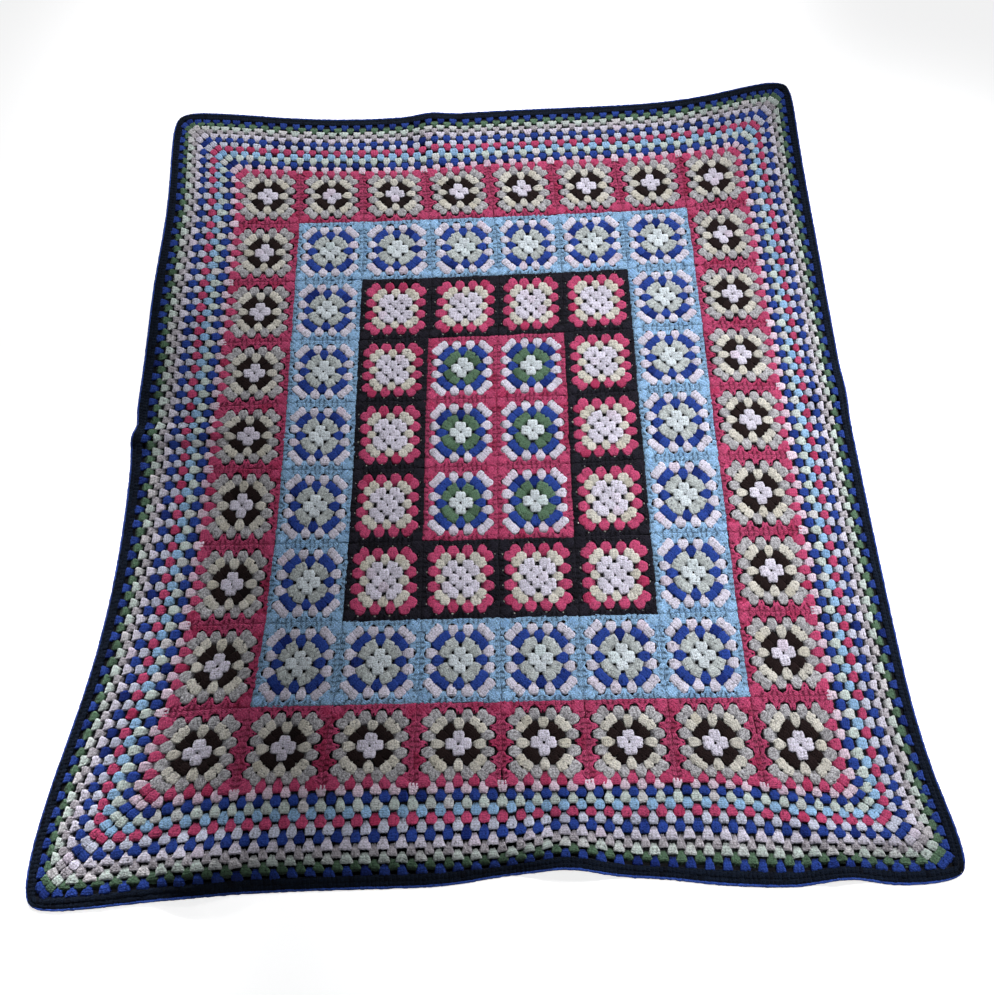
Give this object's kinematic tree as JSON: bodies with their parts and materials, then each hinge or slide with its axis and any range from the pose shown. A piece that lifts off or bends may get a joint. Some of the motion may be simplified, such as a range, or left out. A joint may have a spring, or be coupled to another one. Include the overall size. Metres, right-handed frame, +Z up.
{
  "type": "granny square blanket",
  "caption": "Crocheted blanket of joined granny squares in nested colour tiers, with a clustered border and a dark edging, laid out flat.",
  "frame": {"origin": "bottom centre of the blanket's bounding box, on the surface that it lies on", "axes": "+Z up, +X to the right and +Y away along the longer side, towards the far hem"},
  "size_m": [1.2312, 1.3197, 0.0324],
  "materials": {
    "raspberry_yarn": "matt crocheted yarn",
    "black_yarn": "matt crocheted yarn",
    "light_blue_yarn": "matt crocheted yarn",
    "pale_pink_yarn": "matt crocheted yarn",
    "border_yarns": "matt crocheted yarns, one colour a round",
    "navy_yarn": "matt crocheted yarn"
  },
  "bodies": {
    "root": {"centre_block": "raspberry_yarn", "black_tier": "black_yarn", "light_blue_tier": "light_blue_yarn", "raspberry_tier": "raspberry_yarn", "joining_round": "pale_pink_yarn", "border_rounds": "border_yarns", "edging_band": "navy_yarn"}
  },
  "joints": []
}
